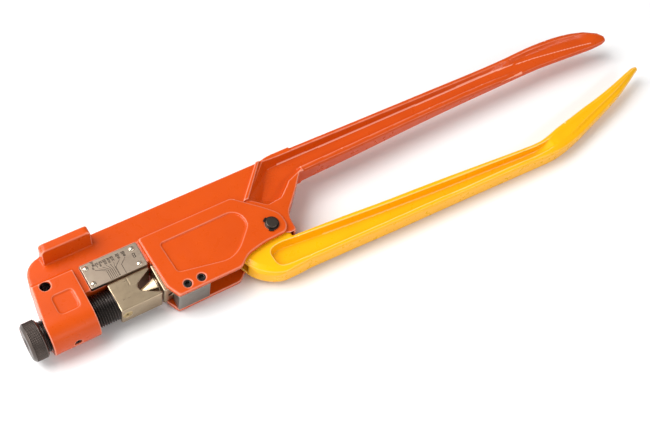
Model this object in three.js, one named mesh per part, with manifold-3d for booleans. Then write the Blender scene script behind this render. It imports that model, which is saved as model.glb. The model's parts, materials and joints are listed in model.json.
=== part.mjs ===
// Two-handed indent crimping tool for cable lugs, millimetres, lying on its back.
//
// Tool axes, used by every part below: +X runs from the adjusting knob to the handle
// ends, +Y from the moving handle to the fixed handle, and +Z out of the side that
// carries the size plate. Z = 0 is the middle of the tool. The last lines of the file
// set the finished tool down on the ground.
import * as THREE from 'three';
import { ConvexGeometry } from 'three/addons/geometries/ConvexGeometry.js';
import { mergeVertices } from 'three/addons/utils/BufferGeometryUtils.js';
import Module from 'manifold-3d';

const wasm = await Module();
wasm.setup();

// ---- driving dimensions -----------------------------------------------------------

const THRUST_Y = 21;            // screw, anvil, ram and toggle all push along this line
const GAP = 0.3;                // between faces that touch on the real tool
const PIN_GAP = 0.15;           // between a pin and the hole it is fixed in

// casting: half thicknesses along Z of its steps
const SPINE_HALF = 12;
const HEAD_HALF = 17;
const CHEEK_HALF = 15;
const SLOT_HALF = 11;
const WEB_HALF = 2.5;
const EDGE_RADIUS = 3;          // along the outer edges of both handles
const SPINE_TOP = 79.5;
const SPINE_UNDERSIDE = 34.4;
const HEAD_LEFT = -251.3;
const HEAD_RIGHT = -213.5;
const HEAD_TOP = 57.5;
const CHEEK_LEFT = -157.4;
const CHEEK_BOTTOM = -2;

// foot pad under the spine, for pressing the tool against a bench
const FOOT_LEFT = -230;
const FOOT_RIGHT = -189.5;
const FOOT_ROOT = 69.9;         // inner face where it meets the spine
const FOOT_RIM = 72;            // and at its outer ends
const FOOT_BASE = 79.5;
const FOOT_HALF = 28.5;
const FOOT_CORNER = 4;

// toggle: lever pivot, lever arm and link
const PIVOT_X = -56.4;
const LEVER_ARM = 28;
const LINK_LENGTH = 45;
const LINK_PIN_X = PIVOT_X - LEVER_ARM;
const RAM_PIN_X = LINK_PIN_X - LINK_LENGTH;
const PIVOT_PIN_R = 5;
const PIVOT_PIN_END = 18;
const LINK_PIN_R = 4.8;
const RAM_PIN_R = 4.5;
const HUB_R = 12.5;
const EYE_R = 10;
const NOSE_ROUNDING = 6;
const LEVER_ROOT_HALF = 10;
const LINK_HALF = 5;
const LINK_EYE_R = 8.5;
const LINK_SWING = 51.3;        // degrees, relative to the lever

// ram and indenter
const RAM_FRONT = -158.5;
const RAM_REAR = -117.2;
const RAM_HEIGHT = 24.6;
const RAM_HALF = 10.5;
const RAM_SLOT_REACH = 2.1;     // free play of the ram pin towards the anvil
const RAM_SLOT_BACK = 0.7;      // and towards the handles
const RAM_SLOT_RISE = 0.8;      // and across the line of thrust
const NIB_TIP_X = -172.5;
const NIB_BASE_HALF = 5.8;
const NIB_TIP_HALF = 2;

// anvil block and adjusting screw
const ANVIL_LEFT = -195;
const ANVIL_RIGHT = -160;
const ANVIL_BOTTOM = 8;
const ANVIL_HALF = 10;
const VEE_HALF_ANGLE = THREE.MathUtils.degToRad(29.3);
const VEE_MOUTH_HALF = 11.1;
const VEE_RADIUS = 5;
const THREAD_R = 12.6;
const NOSE_SHANK_R = 8;
const NOSE_END = -181.5;
const SWIVEL_X = -189.8;        // groove and retaining screw of the anvil swivel
const KNOB_LEFT = -267;
const KNOB_RIGHT = -255;
const KNOB_R = 15.7;
const KNOB_SHANK_R = 6;

// size plate
const PLATE = { left: -207.2, right: -159.6, low: 34.5, high: 56.4, bottom: 9, top: 13.1 };
const RIVET_XS = [-203.7, -165];
const RIVET_YS = [38, 52.4];
const RIVET_SHANK_R = 1.1;
const RIVET_HEAD_R = 2.2;
const RIVET_DEPTH = 6;          // of the rivet holes below the face of the spine

// guide block under the ram
const GUIDE = { left: -151, right: -123.5, low: CHEEK_BOTTOM, high: 8.3, half: 10.7 };
const GUIDE_SCREW_Y = 4.4;
const GUIDE_SCREW_XS = [-140.6, -128.6];
const CAP_HEAD_R = 3.3;
const CAP_SHANK_R = 2.4;

// ---- materials --------------------------------------------------------------------

const finish = (color, roughness, metalness) =>
  new THREE.MeshStandardMaterial({ color, roughness, metalness });
const orangePaint = () => finish(0xe8532a, 0.3, 0);
const yellowPaint = () => finish(0xf6c012, 0.3, 0);
const nickelPlate = () => finish(0xaa9d86, 0.35, 1);
const plainSteel = () => finish(0x8f8a82, 0.4, 1);
const blackOxide = () => finish(0x201d1c, 0.5, 0.8);
const darkSteel = () => finish(0x4a423d, 0.45, 0.9);
const etchedPlate = () => finish(0xa69d8d, 0.45, 1);

// ---- shape helpers ----------------------------------------------------------------

// Closed outline through [x, y, corner radius] points, each corner eased by a curve.
function roundedOutline(points) {
  const shape = new THREE.Shape();
  const count = points.length;
  points.forEach(([x, y, radius = 0], i) => {
    const here = new THREE.Vector2(x, y);
    const before = new THREE.Vector2(...points[(i + count - 1) % count].slice(0, 2));
    const after = new THREE.Vector2(...points[(i + 1) % count].slice(0, 2));
    const start = here.clone().addScaledVector(before.sub(here).normalize(), radius);
    const end = here.clone().addScaledVector(after.sub(here).normalize(), radius);
    if (i === 0) shape.moveTo(start.x, start.y);
    else shape.lineTo(start.x, start.y);
    if (radius > 0) shape.quadraticCurveTo(x, y, end.x, end.y);
  });
  shape.closePath();
  return shape;
}

const rectangle = (x0, x1, y0, y1, radius = 0) =>
  roundedOutline([[x0, y0, radius], [x1, y0, radius], [x1, y1, radius], [x0, y1, radius]]);

// Turns a closed geometry into a solid that can be joined and cut.
function solid(geometry) {
  const bare = geometry.clone();
  bare.deleteAttribute('normal');
  bare.deleteAttribute('uv');
  const merged = mergeVertices(bare, 1e-4);
  const vertProperties = new Float32Array(merged.attributes.position.array);
  const triVerts = new Uint32Array(merged.index.array);
  return new wasm.Manifold(new wasm.Mesh({ numProp: 3, vertProperties, triVerts }));
}

// Outline drawn in X and Y, from z0 to z1, with an optional edge break.
function slab(shape, z0, z1, edge = 0, curveSegments = 8) {
  const geometry = new THREE.ExtrudeGeometry(shape, {
    depth: z1 - z0 - 2 * edge,
    curveSegments,
    bevelEnabled: edge > 0,
    bevelThickness: edge,
    bevelSize: edge,
    bevelOffset: -edge,
    bevelSegments: 2,
  });
  return solid(geometry.translate(0, 0, z0 + edge));
}

const plate = (shape, half, edge = 0, curveSegments = 8) =>
  slab(shape, -half, half, edge, curveSegments);

// Outline drawn in Y and Z, from x0 to x1.
function alongX(shape, x0, x1, curveSegments = 12) {
  const turn = new THREE.Matrix4().makeBasis(
    new THREE.Vector3(0, 1, 0), new THREE.Vector3(0, 0, 1), new THREE.Vector3(1, 0, 0));
  const options = { depth: x1 - x0, curveSegments, bevelEnabled: false };
  const geometry = new THREE.ExtrudeGeometry(shape, options);
  return solid(geometry.applyMatrix4(turn).translate(x0, 0, 0));
}

// Outline drawn in Z and X, from y0 to y1.
function alongY(shape, y0, y1, edge = 0) {
  const turn = new THREE.Matrix4().makeBasis(
    new THREE.Vector3(0, 0, 1), new THREE.Vector3(1, 0, 0), new THREE.Vector3(0, 1, 0));
  const geometry = new THREE.ExtrudeGeometry(shape, {
    depth: y1 - y0 - 2 * edge,
    curveSegments: 5,
    bevelEnabled: edge > 0,
    bevelThickness: edge,
    bevelSize: edge,
    bevelOffset: -edge,
    bevelSegments: 1,
  });
  return solid(geometry.applyMatrix4(turn).translate(0, y0 + edge, 0));
}

function block(x0, x1, y0, y1, z0, z1) {
  const box = new THREE.BoxGeometry(x1 - x0, y1 - y0, z1 - z0);
  return solid(box.translate((x0 + x1) / 2, (y0 + y1) / 2, (z0 + z1) / 2));
}

// Round bars along each axis.
function rodX(x0, x1, radius, y = THRUST_Y, z = 0, sides = 40) {
  const rod = new THREE.CylinderGeometry(radius, radius, x1 - x0, sides);
  return solid(rod.rotateZ(-Math.PI / 2).translate((x0 + x1) / 2, y, z));
}

function rodY(y0, y1, radius, x, z = 0, sides = 20) {
  const rod = new THREE.CylinderGeometry(radius, radius, y1 - y0, sides);
  return solid(rod.translate(x, (y0 + y1) / 2, z));
}

function rodZ(z0, z1, radius, x, y = THRUST_Y, sides = 32) {
  const rod = new THREE.CylinderGeometry(radius, radius, z1 - z0, sides);
  return solid(rod.rotateX(Math.PI / 2).translate(x, y, (z0 + z1) / 2));
}

// Turned part: [radius, distance] steps swept about an axis through the origin along Y.
function turned(steps, sides = 32) {
  const profile = steps.map(([radius, along]) => new THREE.Vector2(radius, along));
  return new THREE.LatheGeometry(profile, sides);
}

// Hexagon socket cutter along Z, across flats.
const socketZ = (acrossFlats, z0, z1, x, y) =>
  rodZ(z0, z1, acrossFlats / Math.sqrt(3), x, y, 6);

// Solid between two flat outlines of [x, y] points, at heights z0 and z1.
function tapered(points0, z0, points1, z1) {
  const corners = [
    ...points0.map(([x, y]) => new THREE.Vector3(x, y, z0)),
    ...points1.map(([x, y]) => new THREE.Vector3(x, y, z1)),
  ];
  return solid(new ConvexGeometry(corners));
}

// Pocket cutter with sloping walls: the outline is its rim, the floor is smaller all round.
function pocket(shape, floor, rim, draft) {
  const geometry = new THREE.ExtrudeGeometry(shape, {
    depth: 1,
    curveSegments: 5,
    bevelEnabled: true,
    bevelThickness: rim - floor,
    bevelSize: draft,
    bevelOffset: -draft,
    bevelSegments: 1,
  });
  return solid(geometry.translate(0, 0, rim));
}

const bothSides = (upper) => unite(upper, upper.mirror([0, 0, 1]));

function unite(...solids) {
  return solids.reduce((sum, next) => sum.add(next));
}

function cut(base, ...cutters) {
  return cutters.reduce((rest, cutter) => rest.subtract(cutter), base);
}

// One side of a handle section: a rounded outer edge, the rim of the recess, the foot of
// its wall, the web between the flanges and the same again down to the inner edge.
function handleSide([top, half, rim, foot, web, lowFoot, lowRim, lowHalf, bottom]) {
  const upper = Math.min(EDGE_RADIUS, half - 0.3);
  const lower = Math.min(EDGE_RADIUS, lowHalf - 0.3);
  const eased = 1 - Math.SQRT1_2;
  return [
    [top, half - upper],
    [top - eased * upper, half - eased * upper],
    [top - upper, half],
    [rim, half],
    [foot, web],
    [lowFoot, web],
    [lowRim, lowHalf],
    [bottom + lower, lowHalf],
    [bottom + eased * lower, lowHalf - eased * lower],
    [bottom, lowHalf - lower],
  ];
}

// Handle drawn through sections along X, with smooth curves between them.
function handleBar(sections) {
  const size = sections[0].length - 1;
  const at = new THREE.CubicInterpolant(
    sections.map(([x]) => x), sections.flatMap(([, ...values]) => values), size,
    new Float64Array(size));
  const xs = sections.slice(1).flatMap(([x], i) => {
    const before = sections[i][0];
    const steps = Math.ceil((x - before) / 13);
    return Array.from({ length: steps }, (_, k) => before + (x - before) * (k + 1) / steps);
  });
  xs.unshift(sections[0][0]);
  const rings = xs.map((x) => {
    const side = handleSide([...at.evaluate(x)]);
    const other = side.map(([y, z]) => [y, -z]).reverse();
    return [...side, ...other].map(([y, z]) => new THREE.Vector3(x, y, z));
  });
  const around = rings[0].length;
  const index = [];
  for (let i = 0; i + 1 < rings.length; i += 1) {
    for (let j = 0; j < around; j += 1) {
      const a = i * around + j;
      const b = i * around + (j + 1) % around;
      index.push(a, b, a + around, b, b + around, a + around);
    }
  }
  const last = (rings.length - 1) * around;
  const flat = rings[0].map(({ y, z }) => new THREE.Vector2(y, z));
  for (const [a, b, c] of THREE.ShapeUtils.triangulateShape(flat, [])) {
    index.push(c, b, a);
    index.push(last + a, last + b, last + c);
  }
  const geometry = new THREE.BufferGeometry().setFromPoints(rings.flat());
  geometry.setIndex(index);
  return solid(geometry);
}

// Named mesh whose own origin is the point where the part is fixed or turns.
function piece(name, shapeSolid, material, [x, y, z] = [0, 0, 0]) {
  const { numProp, vertProperties, triVerts } = shapeSolid.getMesh();
  const geometry = new THREE.BufferGeometry();
  const positions = new THREE.BufferAttribute(new Float32Array(vertProperties), numProp);
  geometry.setAttribute('position', positions);
  geometry.setIndex(new THREE.BufferAttribute(new Uint32Array(triVerts), 1));
  geometry.translate(-x, -y, -z);
  const mesh = new THREE.Mesh(geometry, material);
  mesh.name = name;
  mesh.position.set(x, y, z);
  return mesh;
}

function assembly(...meshes) {
  const group = new THREE.Group();
  group.add(...meshes);
  return group;
}

// ---- casting: C-frame, cheeks, foot and fixed handle --------------------------------

// C-frame plate: head, spine and the outer wall that runs into the fixed handle.
function framePlate() {
  const shape = roundedOutline([
    [HEAD_RIGHT, SPINE_UNDERSIDE, 3],
    [-150, SPINE_UNDERSIDE],
    [-120, 14],
    [-58, 14],
    [-46, 8.4],
    [-39.3, 8.4, 3],
    [-38.6, 24.5, 7],
    [-21, 42.5, 8],
    [-9, 56.2],
    [-5, 56.2],
    [-5, 82.2],
    [-26, 82.2, 6],
    [-36, SPINE_TOP, 4],
    [-246.5, SPINE_TOP, 21],
    [-246.5, HEAD_TOP],
    [HEAD_LEFT, THRUST_Y],
    [HEAD_LEFT, 12],
    [HEAD_RIGHT, 12],
  ]);
  return plate(shape, SPINE_HALF, 1.5);
}

// Thick head around the adjusting screw: a D-shaped section along X.
function screwHead() {
  const section = new THREE.Shape();
  section.moveTo(HEAD_TOP, -SPINE_HALF);
  section.lineTo(HEAD_TOP, SPINE_HALF);
  section.lineTo(HEAD_TOP - 3, HEAD_HALF);
  section.lineTo(THRUST_Y, HEAD_HALF);
  section.absarc(THRUST_Y, 0, HEAD_HALF, Math.PI / 2, Math.PI * 1.5, false);
  section.lineTo(HEAD_TOP - 3, -HEAD_HALF);
  section.closePath();
  const bar = alongX(section, HEAD_LEFT, HEAD_RIGHT);
  const slope = roundedOutline([
    [HEAD_LEFT - 5, THRUST_Y],
    [HEAD_LEFT, THRUST_Y],
    [-246.5, HEAD_TOP + 1],
    [HEAD_LEFT - 5, HEAD_TOP + 1],
  ]);
  return cut(bar, plate(slope, HEAD_HALF + 1));
}

function cheekOutline() {
  return roundedOutline([
    [CHEEK_LEFT, 57.4, 3],
    [-156.1, 9.8, 2],
    [-150.8, CHEEK_BOTTOM, 2],
    [-95.5, CHEEK_BOTTOM, 3],
    [-86, 5.8, 5],
    [-68.3, 9.3, 4],
    [-49, 10, 3],
    [-44.8, 15, 3],
    [-44.8, 27, 5],
    [-54.5, 38.3, 3],
    [-74, 57.4, 3],
  ]);
}

// Foot pad: the flat base that stands on a bench, with sloping inner faces.
function footPad() {
  const section = roundedOutline([
    [FOOT_BASE, -FOOT_HALF, 1],
    [FOOT_BASE, FOOT_HALF, 1],
    [FOOT_RIM, FOOT_HALF, 1.5],
    [FOOT_ROOT, SPINE_HALF],
    [FOOT_ROOT, -SPINE_HALF],
    [FOOT_RIM, -FOOT_HALF, 1.5],
  ]);
  const plan = rectangle(-FOOT_HALF, FOOT_HALF, FOOT_LEFT, FOOT_RIGHT, FOOT_CORNER);
  return alongX(section, FOOT_LEFT, FOOT_RIGHT, 3).intersect(alongY(plan, 60, 90));
}

// Sections of the fixed handle: x, then top, half thickness, recess rim and foot, half web,
// lower foot and rim, lower half thickness and bottom.
const FIXED_HANDLE_SECTIONS = [
  [-6, 82.2, 9.9, 78, 74.6, 2.5, 63.8, 60.6, 9.9, 56.2],
  [50, 81.8, 8.6, 77.6, 74.2, 2.5, 64.6, 61.7, 8.6, 57.1],
  [100, 81.5, 7.6, 77.2, 73.9, 2.5, 65.8, 63, 7.6, 58.6],
  [150, 81.3, 6.6, 76.9, 73.6, 2.5, 66.6, 64.2, 6.6, 59.6],
  [200, 81.2, 5.5, 76.8, 73.1, 2.5, 66.6, 64.6, 5.5, 59.8],
  [226, 81.3, 5.8, 77, 71.6, 3, 66, 63.6, 3.9, 59.4],
  [251, 81.8, 6.6, 77.4, 69.3, 3.6, 65.4, 63.4, 3.7, 59.3],
  [281, 80.4, 6.8, 75.8, 65, 3.7, 62.4, 61.2, 3.7, 57.6],
  [301, 77.3, 6.4, 72.8, 61.9, 3.7, 60.6, 59.8, 3.7, 56.3],
  [313, 73.8, 6, 69.4, 59.7, 3.6, 59.3, 59, 3.6, 55.5],
  [325, 67.6, 4.9, 63.8, 60, 3.4, 59.6, 59.2, 3.3, 55.8],
  [330, 63.4, 3, 60.6, 60.4, 2.6, 60.2, 60, 2.4, 57.4],
];

// Sunken root of the handle recess, its end wall sloping with the spine.
function rootRecess() {
  const rim = SPINE_HALF + 1;
  const cornerPart = tapered(
    [[-48.5, 49], [-36, 42.5], [-22, 55], [-22, 74.6], [-29.5, 74]], WEB_HALF,
    [[-62, 50], [-50, 39], [-35.5, 40.5], [-21, 52], [-21, 79], [-33, 79]], rim);
  const handlePart = tapered(
    [[-23, 55], [-8, 63.8], [0, 63.8], [0, 74.6], [-23, 74.6]], WEB_HALF,
    [[-23, 51], [-8, 59.3], [0, 59.3], [0, 79.2], [-23, 79.2]], rim);
  return bothSides(unite(cornerPart, handlePart));
}

const RIB_HEIGHT = 2.2;

// Raised rib beside the end wall of the handle recess.
function endWallRib() {
  const shape = roundedOutline([
    [-34.5, 79.2],
    [-61, 50.4],
    [-66, 50.4],
    [-38.5, 79.2],
  ]);
  return plate(shape, SPINE_HALF + RIB_HEIGHT, 0.8);
}

// The casting thins from the spine to the handle.
function castingPlan() {
  return roundedOutline([
    [-SPINE_HALF, HEAD_LEFT - 10],
    [-SPINE_HALF, -40],
    [-10.3, -20],
    [-9.6, 10],
    [9.6, 10],
    [10.3, -20],
    [SPINE_HALF, -40],
    [SPINE_HALF, HEAD_LEFT - 10],
  ]);
}

// Hollow between the cheeks where ram, link and lever root work. It is open towards the
// anvil and downwards.
function mechanismHollow() {
  const shape = new THREE.Shape();
  shape.moveTo(-165, -10);
  shape.lineTo(-165, SPINE_UNDERSIDE);
  shape.lineTo(-113, SPINE_UNDERSIDE);
  shape.lineTo(-108, 40);
  shape.lineTo(-97, 56.2);
  shape.lineTo(-62, 56.2);
  shape.lineTo(-58.5, 46);
  shape.lineTo(-47, 32.5);
  shape.lineTo(-42, 27);
  shape.lineTo(-42, -10);
  shape.closePath();
  return plate(shape, SLOT_HALF);
}

// Shallow sunk panels on both faces.
function facePanels() {
  const cheekPanel = roundedOutline([
    [-143.8, 45.5, 3],
    [-142.5, 16.8, 3],
    [-101.4, 8.3, 6],
    [-90, 13, 6],
    [-73, 30, 5],
    [-74.5, 40.5, 4],
    [-81, 45.8, 4],
  ]);
  const headPanel = rectangle(-237.5, -220.5, 23.8, 40.8, 4);
  const depth = 1.2;
  return unite(
    slab(cheekPanel, CHEEK_HALF - depth, CHEEK_HALF + 1, 0, 4),
    slab(cheekPanel, -CHEEK_HALF - 1, -CHEEK_HALF + depth, 0, 4),
    slab(headPanel, HEAD_HALF - depth, HEAD_HALF + 1, 0, 4),
    slab(headPanel, -HEAD_HALF - 1, -HEAD_HALF + depth, 0, 4),
  );
}

function rivetPoints() {
  return RIVET_YS.flatMap((y) => RIVET_XS.map((x) => [x, y]));
}

const HANGING_HOLE = { x: -237.3, y: 51.1, radius: 4.3 };
const LOCK_SCREW = { x: -232.6, radius: 3, low: 5.4, high: 7.9 };

function castingHoles() {
  const guideHoles = GUIDE_SCREW_XS.flatMap((x) => [
    rodZ(SLOT_HALF - 1, CHEEK_HALF + 1, CAP_HEAD_R + PIN_GAP, x, GUIDE_SCREW_Y, 24),
    rodZ(-CHEEK_HALF - 1, -SLOT_HALF + 1, CAP_SHANK_R + PIN_GAP, x, GUIDE_SCREW_Y, 16),
  ]);
  const rivetHoles = rivetPoints().map(([x, y]) =>
    rodZ(SPINE_HALF - RIVET_DEPTH, SPINE_HALF + 1, RIVET_SHANK_R + PIN_GAP, x, y, 10));
  const platePocket = block(
    PLATE.left - GAP, PLATE.right + GAP, SPINE_UNDERSIDE - 2, PLATE.high + GAP,
    PLATE.bottom - PIN_GAP, SPINE_HALF + 1);
  const throatRelief = block(PLATE.right, CHEEK_LEFT, SPINE_UNDERSIDE - 2, 37, -20, 20);
  return [
    platePocket,
    throatRelief,
    rodX(HEAD_LEFT - 1, HEAD_RIGHT + 1, THREAD_R + GAP, THRUST_Y, 0, 48),
    rodY(0, THRUST_Y, LOCK_SCREW.radius + PIN_GAP, LOCK_SCREW.x),
    rodZ(-30, 30, HANGING_HOLE.radius, HANGING_HOLE.x, HANGING_HOLE.y),
    rodZ(-30, 30, PIVOT_PIN_R + PIN_GAP, PIVOT_X),
    ...guideHoles,
    ...rivetHoles,
  ];
}

function bodyCasting() {
  const frame = framePlate().intersect(alongY(castingPlan(), 0, 100));
  const webbed = unite(cut(frame, rootRecess()), handleBar(FIXED_HANDLE_SECTIONS));
  const raised = unite(
    webbed, screwHead(), plate(cheekOutline(), CHEEK_HALF, 1.2), footPad(), endWallRib());
  const hollowed = cut(raised, mechanismHollow(), facePanels(), ...castingHoles());
  return piece('body_casting', hollowed, orangePaint());
}

// ---- parts fixed to the casting ----------------------------------------------------

function sizePlate() {
  const shape = rectangle(PLATE.left, PLATE.right, PLATE.low, PLATE.high, 0.8);
  const holes = rivetPoints().map(([x, y]) =>
    rodZ(0, 20, RIVET_SHANK_R + PIN_GAP, x, y, 10));
  const blank = slab(shape, PLATE.bottom, PLATE.top, 0, 2);
  return piece('size_plate', cut(blank, ...holes), etchedPlate(), [PLATE.left, PLATE.low, 0]);
}

// Drive rivets with domed heads, one in each corner of the size plate.
function plateRivets() {
  const under = PLATE.top + 0.1;
  return rivetPoints().map(([x, y], i) => {
    const rivet = turned([
      [0, SPINE_HALF - RIVET_DEPTH + 0.2],
      [RIVET_SHANK_R, SPINE_HALF - RIVET_DEPTH + 0.2],
      [RIVET_SHANK_R, under],
      [RIVET_HEAD_R, under],
      [RIVET_HEAD_R * 0.8, under + 0.6],
      [RIVET_HEAD_R * 0.4, under + 0.92],
      [0, under + 1],
    ], 12);
    const upright = solid(rivet.rotateX(Math.PI / 2).translate(x, y, 0));
    return piece(`plate_rivet_${i + 1}`, upright, plainSteel(), [x, y, under]);
  });
}

// Hardened block that closes the slot under the ram.
function guideBlock() {
  const shape = rectangle(GUIDE.left, GUIDE.right, GUIDE.low, GUIDE.high, 0.8);
  const holes = GUIDE_SCREW_XS.map((x) =>
    rodZ(-20, 20, CAP_SHANK_R + PIN_GAP, x, GUIDE_SCREW_Y, 16));
  const bar = cut(plate(shape, GUIDE.half, 0, 2), ...holes);
  return piece('guide_block', bar, plainSteel(), [GUIDE.left, GUIDE.low, 0]);
}

// Socket head screws that hold the guide block between the cheeks.
function guideScrews() {
  const top = CHEEK_HALF - 0.5;
  return GUIDE_SCREW_XS.map((x, i) => {
    const screw = cut(
      unite(
        rodZ(GUIDE.half + GAP, top, CAP_HEAD_R, x, GUIDE_SCREW_Y, 24),
        rodZ(1 - CHEEK_HALF, GUIDE.half + 1, CAP_SHANK_R, x, GUIDE_SCREW_Y, 16),
      ),
      socketZ(4, top - 2.5, top + 1, x, GUIDE_SCREW_Y),
    );
    return piece(`guide_block_screw_${i + 1}`, screw, blackOxide(), [x, GUIDE_SCREW_Y, top]);
  });
}

// Grub screw under the head that locks the adjusting screw.
function headLockScrew() {
  const { x, radius, low, high } = LOCK_SCREW;
  const hexagon = new THREE.CylinderGeometry(1.7, 1.7, 3, 6).translate(x, low, 0);
  const grub = cut(rodY(low, high, radius, x), solid(hexagon));
  return piece('head_lock_screw', grub, blackOxide(), [x, low, 0]);
}

const CLIP_BOTTOM = CHEEK_HALF + GAP;
const CLIP_THICKNESS = 1;
const CLIP_R = 6.2;
const CLIP_EAR_R = 7.2;
const PIN_GROOVE_R = 3.8;

// Lever pivot pin with a clip groove near each end.
function pivotPin() {
  const end = PIVOT_PIN_END;
  const grooveTop = CLIP_BOTTOM + CLIP_THICKNESS + 0.15;
  const half = [
    [PIVOT_PIN_R, CLIP_BOTTOM - 0.15],
    [PIN_GROOVE_R, CLIP_BOTTOM - 0.15],
    [PIN_GROOVE_R, grooveTop],
    [PIVOT_PIN_R, grooveTop],
    [PIVOT_PIN_R, end - 0.6],
    [PIVOT_PIN_R - 0.6, end],
    [0, end],
  ];
  const mirrored = half.map(([radius, along]) => [radius, -along]).reverse();
  const pin = turned([...mirrored, ...half]).rotateX(Math.PI / 2);
  return piece(
    'pivot_pin', solid(pin.translate(PIVOT_X, THRUST_Y, 0)), darkSteel(),
    [PIVOT_X, THRUST_Y, 0]);
}

// Open retaining ring with two ears, its gap facing the head of the tool.
function pivotClip(name, bottom) {
  const inner = PIN_GROOVE_R + PIN_GAP;
  const opening = THREE.MathUtils.degToRad(40);
  const ear = THREE.MathUtils.degToRad(75);
  const shape = new THREE.Shape();
  shape.absarc(PIVOT_X, THRUST_Y, CLIP_EAR_R, opening - Math.PI, ear - Math.PI, false);
  shape.absarc(PIVOT_X, THRUST_Y, CLIP_R, ear - Math.PI, Math.PI - ear, false);
  shape.absarc(PIVOT_X, THRUST_Y, CLIP_EAR_R, Math.PI - ear, Math.PI - opening, false);
  shape.absarc(PIVOT_X, THRUST_Y, inner, Math.PI - opening, opening - Math.PI, true);
  shape.closePath();
  const ring = slab(shape, bottom, bottom + CLIP_THICKNESS);
  return piece(name, ring, blackOxide(), [PIVOT_X, THRUST_Y, bottom]);
}

// ---- moving handle and toggle --------------------------------------------------------

// Sections of the moving handle, laid out as those of the fixed handle. It bends up at its
// lowest point, where the recess ends, and its grip tapers to the tip.
const MOVING_HANDLE_SECTIONS = [
  [-41, 7.1, 10, 3.8, 1.4, 2.5, -13.4, -15.7, 10, -19.2],
  [0, 4.3, 10, 0, -2.6, 2.5, -14.7, -17, 10, -20.5],
  [40, 0.9, 10, -3.5, -5.8, 2.5, -15.8, -18.1, 10, -21.9],
  [80, -1.8, 10, -6.5, -8.9, 2.5, -16.8, -19, 10, -22.9],
  [110, -4, 9.8, -8.6, -10.7, 2.5, -18, -20.1, 9.8, -23.8],
  [148, -7.1, 9.7, -11.1, -12.9, 2.5, -18.8, -20.6, 9.7, -25],
  [178, -9.4, 9.4, -13.1, -14.8, 2.5, -19.9, -21.7, 9.4, -26.1],
  [190, -10.1, 9.1, -13.7, -15.2, 2.8, -20.3, -21.9, 9.1, -26.6],
  [199, -9.9, 8.9, -13.6, -15.1, 5, -20.3, -21.7, 8.9, -26.9],
  [207, -8.6, 8.7, -12.6, -14.4, 8, -20, -21.5, 8.7, -26.8],
  [221, -4.9, 8.5, -9.4, -12.7, 8.2, -18, -20.4, 7.6, -25],
  [240, -1.3, 8.2, -5.4, -8.6, 7.9, -13, -15.9, 6.2, -20.3],
  [258, 2.4, 7.9, -1.4, -4.2, 7.5, -7.5, -9.9, 6, -14.6],
  [277, 5.9, 7.4, 2.3, 0.4, 7, -2, -4.1, 5.4, -8.5],
  [300, 11.3, 6.5, 8, 6.6, 6.1, 4.8, 3.4, 4.7, -0.6],
  [321, 17.3, 5, 14.6, 13.8, 4.7, 12.9, 12.1, 3.8, 8.8],
  [331, 20, 3.8, 17.8, 17.4, 3.6, 17, 16.7, 3.2, 13.6],
  [336, 19.8, 2.3, 18, 17.9, 2.2, 17.8, 17.7, 2.1, 15.8],
];

// Root of the lever: eye for the link pin, hub over the pivot and a rounded nose below.
function leverRootOutline() {
  const shape = new THREE.Shape();
  shape.moveTo(PIVOT_X + HUB_R, 7.2);
  shape.lineTo(-40, 6.9);
  shape.lineTo(-40, -19.2);
  shape.splineThru([
    new THREE.Vector2(-55, -19.8),
    new THREE.Vector2(-70.7, -18.5),
    new THREE.Vector2(-84, -9.6),
    new THREE.Vector2(-90.3, 3),
  ]);
  shape.lineTo(LINK_PIN_X - EYE_R, THRUST_Y - 6);
  shape.absarc(LINK_PIN_X, THRUST_Y, EYE_R, Math.PI, Math.PI / 2, true);
  shape.absarc(PIVOT_X, THRUST_Y, HUB_R, Math.PI / 2, 0, true);
  shape.closePath();
  return shape;
}

// Envelope that domes the nose: its wide edge bevel leaves the lever to the right of it.
function noseDome() {
  const shape = new THREE.Shape();
  shape.moveTo(-20, 50);
  shape.lineTo(-95, 50);
  shape.lineTo(-95, 14);
  shape.splineThru([
    new THREE.Vector2(-91.2, 1),
    new THREE.Vector2(-84, -10),
    new THREE.Vector2(-71, -19),
    new THREE.Vector2(-50, -24),
  ]);
  shape.lineTo(-20, -36);
  shape.closePath();
  return plate(shape, LEVER_ROOT_HALF, NOSE_ROUNDING, 6);
}

// Rim of the recess at the root of the lever.
function leverRootRecess() {
  return roundedOutline([
    [-34, 3.2],
    [-58, 5.6, 5],
    [-69, 3.4, 6],
    [-68.4, -13.2, 6],
    [-58, -15, 3.5],
    [-34, -15.9],
  ]);
}

// Slot in the lever for the whole swing of the link.
function linkSweep() {
  const radius = LINK_EYE_R + 1.4;
  const reach = 30;
  const swing = THREE.MathUtils.degToRad(LINK_SWING + 1);
  const shape = new THREE.Shape();
  shape.absarc(LINK_PIN_X, THRUST_Y, radius, swing - Math.PI / 2, Math.PI / 2, false);
  shape.lineTo(LINK_PIN_X - reach, THRUST_Y + radius);
  shape.lineTo(
    LINK_PIN_X - reach * Math.cos(swing) + radius * Math.sin(swing),
    THRUST_Y - reach * Math.sin(swing) - radius * Math.cos(swing));
  shape.closePath();
  return plate(shape, LINK_HALF + GAP);
}

function movingHandle() {
  const plainRoot = plate(leverRootOutline(), LEVER_ROOT_HALF, EDGE_RADIUS, 6);
  const root = plainRoot.intersect(noseDome());
  const rootPocket = pocket(leverRootRecess(), WEB_HALF, LEVER_ROOT_HALF, 2.4);
  const lever = cut(
    unite(cut(root, bothSides(rootPocket)), handleBar(MOVING_HANDLE_SECTIONS)),
    linkSweep(),
    rodZ(-20, 20, PIVOT_PIN_R + GAP, PIVOT_X),
    rodZ(-20, 20, LINK_PIN_R + PIN_GAP, LINK_PIN_X),
  );
  return piece('moving_handle', lever, yellowPaint(), [PIVOT_X, THRUST_Y, 0]);
}

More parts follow.
